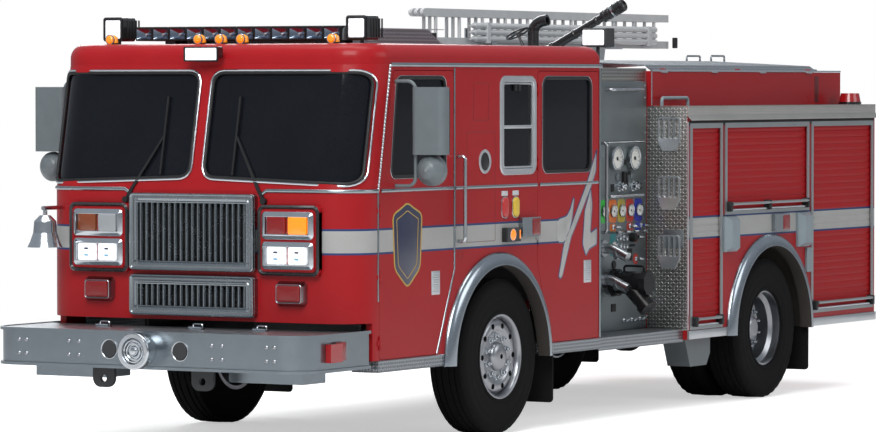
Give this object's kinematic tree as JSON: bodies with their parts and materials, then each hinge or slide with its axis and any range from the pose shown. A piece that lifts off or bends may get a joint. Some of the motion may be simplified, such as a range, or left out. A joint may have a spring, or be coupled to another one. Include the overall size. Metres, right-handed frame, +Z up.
{
  "type": "pumper fire engine",
  "caption": "Custom-cab pumper fire engine with opening doors, steering, hosebed covers, a swivelling deck gun and a rising light mast.",
  "frame": {"origin": "on the ground, in the middle of the overall length and width", "axes": "+X forward, +Y to the driver's (left) side, +Z up"},
  "size_m": [9.724, 3.27, 3.0496],
  "materials": {
    "red_paint": "gloss red coachwork paint",
    "black_steel": "satin black chassis paint",
    "bright_metal": "polished chrome and bright metal",
    "polished_wheel": "polished aluminium wheel",
    "treadplate": "embossed treadplate",
    "brushed_alloy": "plain ladder alloy",
    "panel_metal": "blue-grey panel plate",
    "tyre_rubber": "tyre rubber",
    "flap_rubber": "flat black rubber",
    "dark_glass": "dark tinted glass",
    "lamp_lens": "lamp lens and housing",
    "light_lens": "clear lamp lens and housing",
    "black_plastic": "matte black moulding",
    "seat_cloth": "dark seat cover",
    "yellow_plastic": "grey moulded chock and holder",
    "cast_block": "engine and driveline castings"
  },
  "bodies": {
    "vehicle": {"axles": "black_steel", "body_side_fittings": "panel_metal", "cab_floor": "black_steel", "cab_glass": "dark_glass", "cab_handrails": "bright_metal", "cab_roof": "red_paint", "cab_seats": "seat_cloth", "cab_shell": "red_paint", "chassis_frame": "black_steel", "dashboard": "black_plastic", "deck_gun_base": "black_steel", "driveline_and_tanks": "cast_block", "engine_block": "cast_block", "front_bumper": "bright_metal", "headlamp_clusters": "bright_metal", "ladder_rack": "panel_metal", "ladders": "brushed_alloy", "light_bar": "light_lens", "light_mast_tube": "bright_metal", "marker_and_warning_lamps": "lamp_lens", "mud_flaps": "flap_rubber", "pump_fittings": "bright_metal", "pump_housing": "treadplate", "pump_panels": "panel_metal", "pumper_body": "red_paint", "radiator_grille": "bright_metal", "roller_shutters": "red_paint", "roof_treadplate_box": "treadplate", "siren_and_horns": "bright_metal", "steps_and_running_boards": "treadplate", "warning_bell": "bright_metal", "wheel_arch_rings": "bright_metal", "wheel_chocks": "yellow_plastic", "windscreen_wipers": "black_plastic"},
    "front_door_l": {"front_door_left": "red_paint", "front_door_glass_left": "dark_glass", "mirror_left": "bright_metal"},
    "front_door_r": {"front_door_right": "red_paint", "front_door_glass_right": "dark_glass", "mirror_right": "bright_metal"},
    "crew_door_l": {"crew_door_left": "red_paint", "crew_door_glass_left": "dark_glass"},
    "crew_door_r": {"crew_door_right": "red_paint", "crew_door_glass_right": "dark_glass"},
    "knuckle_l": {"steering_knuckle_left": "black_steel"},
    "knuckle_r": {"steering_knuckle_right": "black_steel"},
    "front_wheel_l": {"front_wheel_left": "polished_wheel", "front_tyre_left": "tyre_rubber"},
    "front_wheel_r": {"front_wheel_right": "polished_wheel", "front_tyre_right": "tyre_rubber"},
    "rear_wheel_l": {"rear_wheels_left": "polished_wheel", "rear_tyres_left": "tyre_rubber"},
    "rear_wheel_r": {"rear_wheels_right": "polished_wheel", "rear_tyres_right": "tyre_rubber"},
    "bed_cover_l": {"hosebed_cover_left": "treadplate"},
    "bed_cover_r": {"hosebed_cover_right": "treadplate"},
    "gun_swivel": {"deck_gun_swivel": "black_steel"},
    "gun_barrel": {"deck_gun_barrel": "black_steel"},
    "mast_head": {"light_mast_head": "black_plastic"}
  },
  "joints": [
    {"name": "steer_l", "type": "hinge", "parent": "vehicle", "child": "knuckle_l", "pos_m": [2.118, 0.84, 0.54], "axis": [0, 0, 1], "range_deg": [-35, 35]},
    {"name": "front_wheel_spin_l", "type": "hinge", "parent": "knuckle_l", "child": "front_wheel_l", "pos_m": [2.118, 1.08, 0.54], "axis": [0, 1, 0], "continuous": true},
    {"name": "rear_wheel_spin_l", "type": "hinge", "parent": "vehicle", "child": "rear_wheel_l", "pos_m": [-2.107, 1.08, 0.54], "axis": [0, 1, 0], "continuous": true},
    {"name": "front_door_swing_l", "type": "hinge", "parent": "vehicle", "child": "front_door_l", "pos_m": [3.81, 1.251, 1.5], "axis": [0, 0, -1], "range_deg": [0, 75]},
    {"name": "crew_door_swing_l", "type": "hinge", "parent": "vehicle", "child": "crew_door_l", "pos_m": [1.633, 1.251, 1.5], "axis": [0, 0, -1], "range_deg": [0, 75]},
    {"name": "bed_cover_lift_l", "type": "hinge", "parent": "vehicle", "child": "bed_cover_l", "pos_m": [-2.172, 0.928, 2.5303], "axis": [-1, 0, 0], "range_deg": [0, 80]},
    {"name": "steer_r", "type": "hinge", "parent": "vehicle", "child": "knuckle_r", "pos_m": [2.118, -0.84, 0.54], "axis": [0, 0, 1], "range_deg": [-35, 35]},
    {"name": "front_wheel_spin_r", "type": "hinge", "parent": "knuckle_r", "child": "front_wheel_r", "pos_m": [2.118, -1.08, 0.54], "axis": [0, 1, 0], "continuous": true},
    {"name": "rear_wheel_spin_r", "type": "hinge", "parent": "vehicle", "child": "rear_wheel_r", "pos_m": [-2.107, -1.08, 0.54], "axis": [0, 1, 0], "continuous": true},
    {"name": "front_door_swing_r", "type": "hinge", "parent": "vehicle", "child": "front_door_r", "pos_m": [3.81, -1.251, 1.5], "axis": [0, 0, 1], "range_deg": [0, 75]},
    {"name": "crew_door_swing_r", "type": "hinge", "parent": "vehicle", "child": "crew_door_r", "pos_m": [1.633, -1.251, 1.5], "axis": [0, 0, 1], "range_deg": [0, 75]},
    {"name": "bed_cover_lift_r", "type": "hinge", "parent": "vehicle", "child": "bed_cover_r", "pos_m": [-2.172, -0.928, 2.5303], "axis": [1, 0, 0], "range_deg": [0, 80]},
    {"name": "gun_yaw", "type": "hinge", "parent": "vehicle", "child": "gun_swivel", "pos_m": [-0.312, 0.255, 2.662], "axis": [0, 0, 1], "continuous": true},
    {"name": "gun_tilt", "type": "hinge", "parent": "gun_swivel", "child": "gun_barrel", "pos_m": [-0.312, 0.255, 2.662], "axis": [1, 0, 0], "range_deg": [-13, 52]},
    {"name": "mast_raise", "type": "slide", "parent": "vehicle", "child": "mast_head", "axis": [0, 0, 1], "range_m": [0, 0.9]}
  ],
  "couplings": [
    {"joint": "steer_r", "follows": "steer_l", "ratio": 1}
  ]
}
